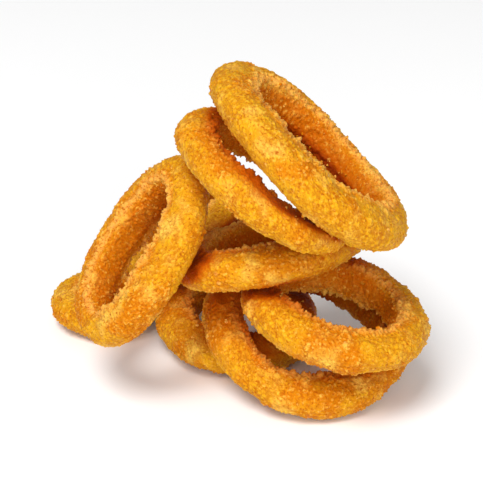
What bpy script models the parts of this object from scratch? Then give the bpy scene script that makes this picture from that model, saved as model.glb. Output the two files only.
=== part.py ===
"""Onion rings side: a loose pile of nine crumbed onion rings, as served.

Each piece is one ring of onion in a thick fried crumb coat.  No two are alike:
a ring is a swept band with its own length, breadth, band width and thickness,
slightly out of round, fuller in some places than in others, and some are bent
out of flat.  Two lie on the table beside a tipped one, and the others rest on
them, the largest leaning across the top.  Everything here is in millimetres
until the last step, where it becomes metres.
"""
import math

import bmesh
import bpy
from mathutils import Matrix, Vector

MM = 0.001

# every ring: facets along the band and around its section
AROUND = 44
ACROSS = 12

PILE = "onion_rings_side"
GOLDEN_CRUMB = (0.62, 0.29, 0.045, 1.0)
CRUMB_ROUGHNESS = 0.75


def wave(terms, angle):
    """Sum of slow waves round a ring: each term is (waves, size, start in degrees)."""
    return sum(size * math.cos(waves * (angle - math.radians(start)))
               for waves, size, start in terms)


def centre_line(ring, angle):
    """Middle of the band at an angle round the ring."""
    reach = 1.0 + wave(ring["wobble"], angle)
    return Vector((
        (ring["long"] - ring["band"]) / 2 * reach * math.cos(angle),
        (ring["short"] - ring["band"]) / 2 * reach * math.sin(angle),
        wave(ring["bend"], angle),
    ))


def outward(ring, angle):
    """Direction square to the band, away from the hole, in the plane of the ring."""
    step = 0.001
    along = centre_line(ring, angle + step) - centre_line(ring, angle - step)
    return Vector((along.y, -along.x, 0.0)).normalized()


def coat_point(ring, angle, around):
    """A point of the crumb coat, around the band's rounded section."""
    fuller = 1.0 + wave(ring["fuller"], angle)
    across = ring["band"] / 2 * fuller * math.cos(around)
    up = ring["thick"] / 2 * fuller * math.sin(around)
    return centre_line(ring, angle) + outward(ring, angle) * across + Vector((0.0, 0.0, up))


def add_ring(name, long, short, band, thick, at, lean, lean_to, turn,
             bend=(), wobble=(), fuller=()):
    """One crumbed ring, laid at its place in the pile.

    long, short, band and thick are its outside sizes; lean tips it towards the
    compass direction lean_to, and turn spins it in its own plane.
    """
    ring = {"long": long, "short": short, "band": band, "thick": thick,
            "bend": bend, "wobble": wobble, "fuller": fuller}
    bpy.ops.mesh.primitive_torus_add(
        major_segments=AROUND, minor_segments=ACROSS, major_radius=1.0, minor_radius=0.25)
    body = bpy.context.active_object
    body.name = name
    body.data.name = name

    for vertex in body.data.vertices:
        angle = math.atan2(vertex.co.y, vertex.co.x)
        around = math.atan2(vertex.co.z, math.hypot(vertex.co.x, vertex.co.y) - 1.0)
        vertex.co = coat_point(ring, angle, around) * MM

    mesh = bmesh.new()
    mesh.from_mesh(body.data)
    bmesh.ops.recalc_face_normals(mesh, faces=mesh.faces)
    mesh.to_mesh(body.data)
    mesh.free()
    body.data.shade_smooth()
    body.data.set_sharp_from_angle(angle=math.radians(60))

    body.matrix_world = (
        Matrix.Translation(Vector(at) * MM)
        @ Matrix.Rotation(math.radians(lean_to), 4, "Z")
        @ Matrix.Rotation(math.radians(lean), 4, "Y")
        @ Matrix.Rotation(math.radians(turn), 4, "Z"))

    crumb = bpy.data.materials.new(name + "_crumb")
    crumb.use_nodes = True
    coat = crumb.node_tree.nodes["Principled BSDF"]
    coat.inputs["Base Color"].default_value = GOLDEN_CRUMB
    coat.inputs["Roughness"].default_value = CRUMB_ROUGHNESS
    coat.inputs["Metallic"].default_value = 0.0
    body.data.materials.append(crumb)

    for owner in list(body.users_collection):
        owner.objects.unlink(body)
    pile.objects.link(body)
    return body


for left_over in list(bpy.data.objects):
    bpy.data.objects.remove(left_over, do_unlink=True)

pile = bpy.data.collections.new(PILE)
bpy.context.scene.collection.children.link(pile)

# on the table: a small flat ring at the far left, a flat one in the middle and
# a wide one at the front, tipped up over the middle ring's edge
add_ring("ring_far_left", long=37, short=37, band=12.5, thick=13,
         at=(-40.6, 23.4, 6.7), lean=0, lean_to=0, turn=0,
         wobble=((2, 0.020, 30), (3, 0.010, 80)), fuller=((3, 0.03, 10),))
add_ring("ring_low_middle", long=53, short=57, band=14, thick=11.6,
         at=(2.3, 10.1, 8.0), lean=6, lean_to=-50, turn=37,
         wobble=((3, 0.012, 30),), fuller=((4, 0.02, 60),))
add_ring("ring_front", long=65, short=68, band=13, thick=12,
         at=(23.6, -10.1, 14.9), lean=18, lean_to=-57, turn=52,
         bend=((2, 1.5, 170),), wobble=((4, 0.010, 0),), fuller=((3, 0.03, 60), (5, 0.02, 0)))

# resting on those: one at the right, one level in the middle
add_ring("ring_right", long=58.5, short=55, band=13, thick=12,
         at=(31.0, -22.5, 28.3), lean=13, lean_to=-24, turn=-5,
         wobble=((3, 0.012, 200),), fuller=((3, 0.03, 0), (5, 0.02, 90)))
add_ring("ring_middle", long=61, short=50, band=13, thick=12,
         at=(12.0, -10.5, 42.1), lean=14, lean_to=135, turn=-110,
         wobble=((3, 0.010, 90),), fuller=((4, 0.02, 0),))

# leaning at the left: one stood up at the back, one against it in front
add_ring("ring_back", long=50, short=46, band=11.5, thick=11,
         at=(-14.3, 31.1, 30.7), lean=35, lean_to=-172, turn=-172,
         wobble=((3, 0.015, 0),), fuller=((3, 0.03, 30),))
add_ring("ring_left", long=63, short=46, band=13, thick=12,
         at=(-25.9, -16.8, 44.1), lean=54, lean_to=-156, turn=-173,
         bend=((3, 0.4, 0),), wobble=((3, 0.012, 0),), fuller=((2, 0.04, 80), (5, 0.02, 0)))

# across the top: a sloping one, and the largest leaning on it
add_ring("ring_upper", long=60, short=50, band=12, thick=11.5,
         at=(10.6, -21.3, 69.3), lean=30, lean_to=-12, turn=-21,
         bend=((2, 0.3, 60),), wobble=((3, 0.015, 100),), fuller=((1, 0.04, 170), (4, 0.02, 10)))
add_ring("ring_top", long=74, short=66, band=15, thick=12.6,
         at=(22.7, -19.1, 75.6), lean=40, lean_to=1, turn=-38,
         bend=((3, 0.5, 20),), wobble=((3, 0.012, 40),), fuller=((2, 0.05, 150), (5, 0.02, 60)))
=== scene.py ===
"""A side of onion rings: nine thick crumbed rings in a loose pile, on a pale studio floor."""

import math

import bmesh
import bpy
import numpy as np
from mathutils import Matrix, Vector
from mathutils.bvhtree import BVHTree


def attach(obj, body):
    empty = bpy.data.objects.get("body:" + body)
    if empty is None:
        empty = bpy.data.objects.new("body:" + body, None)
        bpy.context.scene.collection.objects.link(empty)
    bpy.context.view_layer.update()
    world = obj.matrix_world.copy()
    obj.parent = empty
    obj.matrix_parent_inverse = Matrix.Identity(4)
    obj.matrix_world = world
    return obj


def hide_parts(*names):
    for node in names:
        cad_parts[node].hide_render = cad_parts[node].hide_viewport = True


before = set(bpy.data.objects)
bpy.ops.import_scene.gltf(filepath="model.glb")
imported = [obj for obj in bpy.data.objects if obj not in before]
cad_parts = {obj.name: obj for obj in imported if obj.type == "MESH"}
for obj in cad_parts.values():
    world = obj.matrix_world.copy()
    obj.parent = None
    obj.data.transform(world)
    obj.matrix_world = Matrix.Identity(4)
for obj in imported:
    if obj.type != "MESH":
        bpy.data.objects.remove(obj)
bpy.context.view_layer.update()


# ---------------------------------------------------------------------------
# Crumb coat.  Each ring of onion is floured, battered and rolled in fine bread
# crumb, then fried: the coat dries smooth and golden along the middle of the
# band, and stays rough where loose crumb gathers, most of all on the inner lips.
# ---------------------------------------------------------------------------
MM = 0.001

AROUND = 448
ACROSS = 110

LUMP_MM = 13.0
DENT_MM = 4.5
LIP_MM = 3.2
SUNK_MM = 0.70

NET_AROUND = 56
NET_ACROSS = 18
RAYS = 20
SHUT_IN_MM = 30.0
COARSE_MM = 2.3
CRUMB_MM = 1.25
FINE_MM = 0.72


def hashed(cells, seed):
    """Four steady random numbers, 0 to 1, for each whole-number cell."""
    x, y, z = (cells[:, axis].astype(np.int64) for axis in range(3))
    mixed = (x * 73856093) ^ (y * 19349663) ^ (z * 83492791) ^ (seed * 2654435761)
    numbers = []
    for turn in range(4):
        mixed = (mixed ^ (mixed >> 15)) * 2246822519 & 0xFFFFFFFF
        mixed = (mixed ^ (mixed >> 13)) * 3266489917 + turn & 0xFFFFFFFF
        numbers.append((mixed & 0xFFFFFF) / 0xFFFFFF)
    return np.stack(numbers, axis=1)


def swell(points, size, seed):
    """Slow smooth variation over the coat, -1 to 1, with bumps of a given size."""
    scaled = points / size
    cell = np.floor(scaled)
    part = scaled - cell
    part = part * part * (3 - 2 * part)
    total = np.zeros(len(points))
    for corner in range(8):
        step = np.array([corner & 1, corner >> 1 & 1, corner >> 2 & 1])
        share = np.prod(np.where(step == 1, part, 1 - part), axis=1)
        total += share * hashed(cell + step, seed)[:, 0]
    return total * 2 - 1


def packed_crumbs(points, size, seed):
    """Crumbs packed side by side: how far inside its crumb each point lies, and the crumb's own two numbers."""
    scaled = points / size
    cell = np.floor(scaled)
    near = np.full(len(points), 9.0)
    second = np.full(len(points), 9.0)
    own = np.zeros((len(points), 2))
    for offset in np.ndindex(3, 3, 3):
        numbers = hashed(cell + np.array(offset) - 1, seed)
        centre = cell + np.array(offset) - 1 + numbers[:, :3]
        away = np.linalg.norm(scaled - centre, axis=1)
        closer = away < near
        second = np.where(closer, near, np.minimum(second, away))
        own[closer] = numbers[closer][:, 2:4]
        near = np.where(closer, away, near)
    return np.clip((second - near) * 1.6, 0, 1), own


def ease(value, low, high):
    """0 below low, 1 above high, and a smooth rise between them."""
    part = np.clip((value - low) / (high - low), 0, 1)
    return part * part * (3 - 2 * part)


def wave(terms, angle):
    """Sum of slow waves round a ring: each term is (waves, size, start in degrees)."""
    return sum(size * np.cos(waves * (angle - math.radians(start)))
               for waves, size, start in terms) + 0 * angle


def band_middle(ring, angle):
    """Middle of the band, in mm, at angles round the ring."""
    reach = 1 + wave(ring["wobble"], angle)
    return np.stack([(ring["long"] - ring["band"]) / 2 * reach * np.cos(angle),
                     (ring["short"] - ring["band"]) / 2 * reach * np.sin(angle),
                     wave(ring["bend"], angle)], axis=1)


def under_coat(ring, angle, around):
    """The coat before its crumbs, in mm: rounded outside, flatter on the wall of the hole."""
    ahead = band_middle(ring, angle + 0.001) - band_middle(ring, angle - 0.001)
    out = np.stack([ahead[:, 1], -ahead[:, 0], 0 * angle], axis=1)
    out /= np.linalg.norm(out, axis=1, keepdims=True)
    across, up = np.cos(around), np.sin(around)
    wall = ease(-across, 0.0, 0.55)
    power = 1 - 0.24 * wall
    across = np.sign(across) * np.abs(across) ** power * (1 - 0.07 * wall)
    up = np.sign(up) * np.abs(up) ** power
    fuller = 1 + wave(ring["fuller"], angle)
    return (band_middle(ring, angle) + out * (ring["band"] / 2 * fuller * across)[:, None]
            + np.array([0, 0, 1.0]) * (ring["thick"] / 2 * fuller * up)[:, None])


def surface_facing(ring, angle, around):
    """The way the coat faces before its crumbs."""
    step = 0.01
    along = under_coat(ring, angle + step, around) - under_coat(ring, angle - step, around)
    over = under_coat(ring, angle, around + step) - under_coat(ring, angle, around - step)
    facing = np.cross(along, over)
    return facing / np.linalg.norm(facing, axis=1, keepdims=True)


def crumb_relief(points, around, seed):
    """Height of the crumbs in mm, and how coarse, raised, near a lip and inside the hole each point is."""
    side = np.abs(around)
    lip = np.exp(-((side - math.radians(117)) / math.radians(22)) ** 2)
    inside = ease(side, math.radians(125), math.radians(155))
    patch = swell(points, 10.0, seed + 3) * 0.6 + swell(points, 4.5, seed + 4) * 0.4
    coarse = np.clip(0.22 + ease(patch, -0.30, 0.40) * 0.7 + lip * 0.75 + inside * 0.25, 0, 1)

    relief = (0.60 * swell(points, LUMP_MM, seed) + 0.30 * swell(points, DENT_MM, seed + 1)
              + 0.85 * lip * ease(swell(points, LIP_MM, seed + 2), -0.4, 0.7) - SUNK_MM)

    fine, fine_own = packed_crumbs(points, FINE_MM, seed + 5)
    crumbs = (0.22 + 0.13 * coarse) * fine * (0.4 + fine_own[:, 0])
    crumb, crumb_own = packed_crumbs(points, CRUMB_MM, seed + 6)
    crumbs += (0.30 + 0.35 * coarse) * crumb * ease(crumb_own[:, 0] + 0.75 * coarse, 0.40, 1.10)
    large, large_own = packed_crumbs(points, COARSE_MM, seed + 7)
    crumbs += ((0.40 + 0.45 * lip) * ease(large, 0.0, 0.7)
               * ease(large_own[:, 0] + 0.50 * coarse + 0.45 * lip, 0.90, 1.25))
    raised = np.clip(crumbs / (2.2 * crumbs.mean()), 0, 1)
    relief += crumbs
    return relief, coarse, raised, lip, inside


def painted_shade_net(ring, place, at):
    """How shut in the coat is, 0 to 1, from rays sent out over a coarse net round the ring; it sets how much
    painted shade the coat's colour gets.
    """
    sent = np.random.default_rng(5).normal(size=(RAYS, 3))
    sent /= np.linalg.norm(sent, axis=1, keepdims=True)
    net_angle, net_around = (net.ravel() for net in np.meshgrid(
        np.linspace(-math.pi, math.pi, NET_AROUND, endpoint=False),
        np.linspace(-math.pi, math.pi, NET_ACROSS, endpoint=False), indexing="ij"))
    spots = under_coat(ring, net_angle, net_around)
    facing = surface_facing(ring, net_angle, net_around)
    starts = (spots + facing * 1.5) @ place.T + at
    facing = facing @ place.T
    met = np.zeros(len(starts))
    for row, (start, out) in enumerate(zip(starts, facing)):
        spread_out = sent + out * 1.05
        for ray in spread_out:
            reached = solids.ray_cast(Vector(start) * MM, Vector(ray), SHUT_IN_MM * MM)[3]
            if reached is not None:
                met[row] += 1 - 0.5 * reached / (SHUT_IN_MM * MM)
    return (met / RAYS).reshape(NET_AROUND, NET_ACROSS)


def read_net(net, angle, around):
    """Smooth reading of a net of values at angles round the ring and round its section."""
    first = (angle + math.pi) / (2 * math.pi) * net.shape[0]
    other = (around + math.pi) / (2 * math.pi) * net.shape[1]
    row, column = np.floor(first).astype(int), np.floor(other).astype(int)
    down, right = first - row, other - column
    total = 0
    for step_down, step_right in np.ndindex(2, 2):
        share = (down if step_down else 1 - down) * (right if step_right else 1 - right)
        total = total + share * net[(row + step_down) % net.shape[0], (column + step_right) % net.shape[1]]
    return total


def coated_ring(name, seed, long, short, band, thick, at, lean, lean_to, turn,
                bend=(), wobble=(), fuller=()):
    """One crumbed ring at its place in the pile; leaning, turned and out of round by its own amounts."""
    ring = {"long": long, "short": short, "band": band, "thick": thick,
            "bend": bend, "wobble": wobble, "fuller": fuller}
    mesh = plain_band.copy()
    mesh.name = name
    spun = np.empty(len(mesh.vertices) * 3)
    mesh.vertices.foreach_get("co", spun)
    spun = spun.reshape(-1, 3)
    angle = np.arctan2(spun[:, 1], spun[:, 0])
    around = np.arctan2(spun[:, 2], np.hypot(spun[:, 0], spun[:, 1]) - 2.0)

    points = under_coat(ring, angle, around)
    facing = surface_facing(ring, angle, around)
    relief, coarse, raised, lip, inside = crumb_relief(points, around, seed * 20)
    points = points + facing * relief[:, None]

    place = np.array(Matrix.Rotation(math.radians(lean_to), 3, "Z") @ Matrix.Rotation(math.radians(lean), 3, "Y")
                     @ Matrix.Rotation(math.radians(turn), 3, "Z"))
    # painted shade: how shut in each point is by its neighbours, carried to the colour as a mesh value
    shut_in_shade = read_net(painted_shade_net(ring, place, np.array(at)), angle, around)
    points = points @ place.T + np.array(at)
    points[:, 2] = np.maximum(points[:, 2], 0.0)
    mesh.vertices.foreach_set("co", (points * MM).ravel())
    for label, values in (("coarse", coarse), ("raised", raised), ("lip", lip), ("inside", inside),
                          ("shut_in_shade", shut_in_shade)):
        layer = mesh.attributes.new(label, "FLOAT", "POINT")
        layer.data.foreach_set("value", values.astype(np.float32))
    mesh.shade_smooth()
    mesh.update()

    piece = bpy.data.objects.new("crumbed_" + name, mesh)
    bpy.context.scene.collection.objects.link(piece)
    mesh.materials.append(golden_coat)
    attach(piece, "root")
    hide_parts(name)
    grown.append((points, facing @ place.T, coarse))
    return piece


def blend_colours(tree, factor, first, second):
    """A colour mix node; its factor and colours are sockets or fixed colours."""
    mix = tree.nodes.new("ShaderNodeMix")
    mix.data_type = "RGBA"
    for socket, value in ((mix.inputs[0], factor), (mix.inputs[6], first), (mix.inputs[7], second)):
        if isinstance(value, bpy.types.NodeSocket):
            tree.links.new(value, socket)
        else:
            socket.default_value = value
    return mix.outputs[2]


def spread(tree, value, low, high):
    """Stretches a value so that low becomes 0 and high becomes 1, smoothly."""
    ramp = tree.nodes.new("ShaderNodeMapRange")
    ramp.interpolation_type = "SMOOTHSTEP"
    ramp.inputs["From Min"].default_value = low
    ramp.inputs["From Max"].default_value = high
    tree.links.new(value, ramp.inputs["Value"])
    return ramp.outputs["Result"]


def grain(tree, scale, detail=3.0, roughness=0.6):
    """Noise on the object's own metres; scale is bumps per metre."""
    noise = tree.nodes.new("ShaderNodeTexNoise")
    noise.inputs["Scale"].default_value = scale
    noise.inputs["Detail"].default_value = detail
    noise.inputs["Roughness"].default_value = roughness
    place = tree.nodes.get("place") or tree.nodes.new("ShaderNodeTexCoord")
    place.name = "place"
    tree.links.new(place.outputs["Object"], noise.inputs["Vector"])
    return noise.outputs["Fac"]


def own_value(tree, label):
    """A value that the mesh carries at each of its points."""
    layer = tree.nodes.new("ShaderNodeAttribute")
    layer.attribute_name = label
    return layer.outputs["Fac"]


def both(tree, first, second):
    """The product of two values."""
    product = tree.nodes.new("ShaderNodeMath")
    product.operation = "MULTIPLY"
    tree.links.new(first, product.inputs[0])
    tree.links.new(second, product.inputs[1])
    return product.outputs[0]


GOLD = (0.745, 0.370, 0.010, 1)
AMBER = (0.61, 0.188, 0.002, 1)
TOASTED = (0.40, 0.075, 0.001, 1)
CREAM = (0.84, 0.50, 0.070, 1)
PALE = (0.88, 0.50, 0.075, 1)
LIP_CRUMB = (0.82, 0.39, 0.075, 1)
# painted shade: the darker red on the inner wall of the hole
PAINTED_HOLE_SHADE = (0.54, 0.120, 0.001, 1)
# painted shade colours for places shut in by neighbours, light and deep
PAINTED_SHADE = (0.50, 0.090, 0.001, 1)
PAINTED_DEEP_SHADE = (0.20, 0.014, 0.001, 1)


def fried_coat(name, loose):
    """Fried crumb: gold where smooth, amber where coarse, toasted between the crumbs, pale at their tips; with
    painted shade on the hole's inner wall and where neighbours shut the coat in.
    """
    material = bpy.data.materials.new(name)
    material.use_nodes = True
    tree = material.node_tree
    coat = tree.nodes["Principled BSDF"]
    if loose:
        tone = blend_colours(tree, spread(tree, grain(tree, 300.0), 0.40, 0.62), AMBER, LIP_CRUMB)
    else:
        tone = blend_colours(tree, spread(tree, own_value(tree, "coarse"), 0.15, 0.95), GOLD, AMBER)
        tone = blend_colours(tree, spread(tree, grain(tree, 130.0, 1.0), 0.50, 0.80), tone, CREAM)
        tone = blend_colours(tree, both(tree, spread(tree, own_value(tree, "raised"), 0.50, -0.20),
                                        spread(tree, grain(tree, 95.0, 2.0), 0.0, 0.75)), tone, TOASTED)
        tone = blend_colours(tree, both(tree, spread(tree, own_value(tree, "raised"), 0.50, 1.15),
                                        spread(tree, grain(tree, 900.0, 2.0), 0.35, 0.65)), tone, PALE)
        tone = blend_colours(tree, both(tree, spread(tree, own_value(tree, "lip"), 0.3, 1.4),
                                        spread(tree, own_value(tree, "raised"), 0.15, 0.6)), tone, LIP_CRUMB)
        # painted shade on the inner wall of the hole
        tone = blend_colours(tree, spread(tree, own_value(tree, "inside"), 0.0, 1.5), tone, PAINTED_HOLE_SHADE)
    tone = blend_colours(tree, spread(tree, grain(tree, 1300.0, 1.0), 0.48, 0.85), tone, TOASTED)
    tone = blend_colours(tree, spread(tree, grain(tree, 1000.0, 1.0), 0.52, 0.95), tone, PALE)
    if not loose:
        # painted shade where neighbours shut the coat in, deepest where it is most shut in
        tone = blend_colours(tree, spread(tree, own_value(tree, "shut_in_shade"), 0.08, 0.65), tone, PAINTED_SHADE)
        tone = blend_colours(tree, spread(tree, own_value(tree, "shut_in_shade"), 0.40, 1.10), tone, PAINTED_DEEP_SHADE)
    tree.links.new(tone, coat.inputs["Base Color"])
    tree.links.new(spread(tree, grain(tree, 500.0), -0.6, 1.5), coat.inputs["Roughness"])
    coat.inputs["Specular IOR Level"].default_value = 0.12
    coat.inputs["Specular Tint"].default_value = (1.0, 0.62, 0.25, 1)
    coat.inputs["Subsurface Weight"].default_value = 0.25
    coat.inputs["Subsurface Radius"].default_value = (1.0, 0.35, 0.08)
    coat.inputs["Subsurface Scale"].default_value = 0.0016
    bump = tree.nodes.new("ShaderNodeBump")
    bump.inputs["Strength"].default_value = 0.9
    bump.inputs["Distance"].default_value = 0.0005
    tree.links.new(grain(tree, 1400.0, 2.0, 0.7), bump.inputs["Height"])
    tree.links.new(bump.outputs["Normal"], coat.inputs["Normal"])
    return material


# the fine band that every ring is shaped from: a round section spun once round
band_cage = bmesh.new()
section = bmesh.ops.create_circle(
    band_cage, cap_ends=False, segments=ACROSS, radius=1.0,
    matrix=Matrix.Translation((2.0, 0.0, 0.0)) @ Matrix.Rotation(math.pi / 2, 4, "X"))
loop = section["verts"] + list({edge for vert in section["verts"] for edge in vert.link_edges})
bmesh.ops.spin(band_cage, geom=loop, cent=(0, 0, 0), axis=(0, 0, 1), dvec=(0, 0, 0),
               angle=2 * math.pi, steps=AROUND, use_merge=True)
bmesh.ops.recalc_face_normals(band_cage, faces=band_cage.faces)
plain_band = bpy.data.meshes.new("plain_band")
band_cage.to_mesh(plain_band)
band_cage.free()

# the solid rings, which show where the coat is shut in by its neighbours, to be painted there as shade
corners = []
triangles = []
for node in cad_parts.values():
    triangles += [[len(corners) + corner for corner in face.vertices] for face in node.data.polygons]
    corners += [vert.co.copy() for vert in node.data.vertices]
solids = BVHTree.FromPolygons(corners, triangles)

golden_coat = fried_coat("golden_coat", loose=False)
grown = []

# on the table: a small ring at the far left, a flat one in the middle, a wide one in front
coated_ring("ring_far_left", 1, long=37, short=37, band=12.5, thick=13,
            at=(-40.6, 23.4, 6.7), lean=0, lean_to=0, turn=0,
            wobble=((2, 0.020, 30), (3, 0.010, 80)), fuller=((3, 0.03, 10),))
coated_ring("ring_low_middle", 2, long=53, short=57, band=14, thick=11.6,
            at=(2.3, 10.1, 8.0), lean=6, lean_to=-50, turn=37,
            wobble=((3, 0.012, 30),), fuller=((4, 0.02, 60),))
coated_ring("ring_front", 3, long=65, short=68, band=13, thick=12,
            at=(23.6, -10.1, 14.9), lean=18, lean_to=-57, turn=52,
            bend=((2, 1.5, 170),), wobble=((4, 0.010, 0),), fuller=((3, 0.03, 60), (5, 0.02, 0)))

# resting on those: one at the right, one level in the middle
coated_ring("ring_right", 4, long=58.5, short=55, band=13, thick=12,
            at=(31.0, -22.5, 28.3), lean=13, lean_to=-24, turn=-5,
            wobble=((3, 0.012, 200),), fuller=((3, 0.03, 0), (5, 0.02, 90)))
coated_ring("ring_middle", 5, long=61, short=50, band=13, thick=12,
            at=(12.0, -10.5, 42.1), lean=14, lean_to=135, turn=-110,
            wobble=((3, 0.010, 90),), fuller=((4, 0.02, 0),))

# leaning at the left: one stood up at the back, one against it in front
coated_ring("ring_back", 6, long=50, short=46, band=11.5, thick=11,
            at=(-14.3, 31.1, 30.7), lean=35, lean_to=-172, turn=-172,
            wobble=((3, 0.015, 0),), fuller=((3, 0.03, 30),))
coated_ring("ring_left", 7, long=63, short=46, band=13, thick=12,
            at=(-25.9, -16.8, 44.1), lean=54, lean_to=-156, turn=-173,
            bend=((3, 0.4, 0),), wobble=((3, 0.012, 0),), fuller=((2, 0.04, 80), (5, 0.02, 0)))

# across the top: a sloping one, and the largest leaning on it
coated_ring("ring_upper", 8, long=60, short=50, band=12, thick=11.5,
            at=(10.6, -21.3, 69.3), lean=30, lean_to=-12, turn=-21,
            bend=((2, 0.3, 60),), wobble=((3, 0.015, 100),), fuller=((1, 0.04, 170), (4, 0.02, 10)))
coated_ring("ring_top", 9, long=74, short=66, band=15, thick=12.6,
            at=(22.7, -19.1, 75.6), lean=40, lean_to=1, turn=-38,
            bend=((3, 0.5, 20),), wobble=((3, 0.012, 40),), fuller=((2, 0.05, 150), (5, 0.02, 60)))


# ---------------------------------------------------------------------------
# Loose crumbs.  Dry bread crumb that the batter only just holds: small angular
# grains half sunk in the coat, thickest on its rough places.
# ---------------------------------------------------------------------------
LOOSE_A_RING = 240
LOOSE_MM = (0.40, 0.45)

chance = np.random.default_rng(41)
gathered = bmesh.new()
for points, facing, coarse in grown:
    grains = bmesh.new()
    weight = 0.05 + coarse ** 3
    picked = chance.choice(len(points), LOOSE_A_RING, replace=False, p=weight / weight.sum())
    for spot in picked:
        size = LOOSE_MM[0] + LOOSE_MM[1] * chance.random() ** 3
        tilt = Matrix.Rotation(chance.random() * 6.28, 4, Vector(chance.normal(size=3)).normalized())
        shape = Matrix.Diagonal((size * MM, size * MM * (0.6 + 0.4 * chance.random()),
                                 size * MM * (0.45 + 0.4 * chance.random()), 1.0))
        centre = Vector(points[spot] - facing[spot] * size * 0.30) * MM
        bmesh.ops.create_icosphere(grains, subdivisions=1, radius=1.0,
                                   matrix=Matrix.Translation(centre) @ tilt @ shape)
    handful = bpy.data.meshes.new("handful")
    grains.to_mesh(handful)
    grains.free()
    gathered.from_mesh(handful)
    bpy.data.meshes.remove(handful)
for vert in gathered.verts:
    vert.co += Vector(chance.normal(scale=0.00010, size=3))
    vert.co.z = max(vert.co.z, 0.0)
crumb_mesh = bpy.data.meshes.new("loose_crumbs")
gathered.to_mesh(crumb_mesh)
gathered.free()
loose_crumbs = bpy.data.objects.new("loose_crumbs", crumb_mesh)
bpy.context.scene.collection.objects.link(loose_crumbs)
crumb_mesh.materials.append(fried_coat("loose_crumb", loose=True))
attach(loose_crumbs, "root")


# ---------------------------------------------------------------------------
# Studio: a pale floor, a broad soft light overhead in front, a weaker one at
# the right, and a pale surround.
# ---------------------------------------------------------------------------
bpy.ops.mesh.primitive_plane_add(size=6.0, location=(0, 0, -0.0002))
floor = bpy.context.active_object
floor.name = "floor"
pale = bpy.data.materials.new("pale_floor")
pale.use_nodes = True
pale_paint = pale.node_tree.nodes["Principled BSDF"]
pale_paint.inputs["Base Color"].default_value = (0.97, 0.97, 0.97, 1)
pale_paint.inputs["Roughness"].default_value = 0.9
floor.data.materials.append(pale)

surround = bpy.data.worlds.new("surround")
surround.use_nodes = True
surround.node_tree.nodes["Background"].inputs["Color"].default_value = (1, 1, 1, 1)
surround.node_tree.nodes["Background"].inputs["Strength"].default_value = 0.36
bpy.context.scene.world = surround

look_at = Vector((0.0035, 0.0099, 0.035))


def soft_light(name, place, size, power):
    """A square soft box aimed at the pile."""
    lamp = bpy.data.lights.new(name, "AREA")
    lamp.size = size
    lamp.energy = power
    holder = bpy.data.objects.new(name, lamp)
    holder.location = place
    holder.rotation_euler = (look_at - Vector(place)).to_track_quat("-Z", "Y").to_euler()
    bpy.context.scene.collection.objects.link(holder)


soft_light("key_light", (-0.62, -1.12, 2.12), 1.1, 49.0)
soft_light("front_light", (0.38, -2.40, 0.90), 1.7, 37.0)

bpy.context.scene.view_settings.view_transform = "Standard"

camera = bpy.data.objects.new("camera", bpy.data.cameras.new("camera"))
camera.data.sensor_width = 36.0
camera.data.lens = 109.7
camera.data.clip_start = 0.01
camera.location = look_at + Vector((0, -math.cos(math.radians(25)), math.sin(math.radians(25)))) * 0.46
camera.rotation_euler = (look_at - camera.location).to_track_quat("-Z", "Y").to_euler()
bpy.context.scene.collection.objects.link(camera)
bpy.context.scene.camera = camera
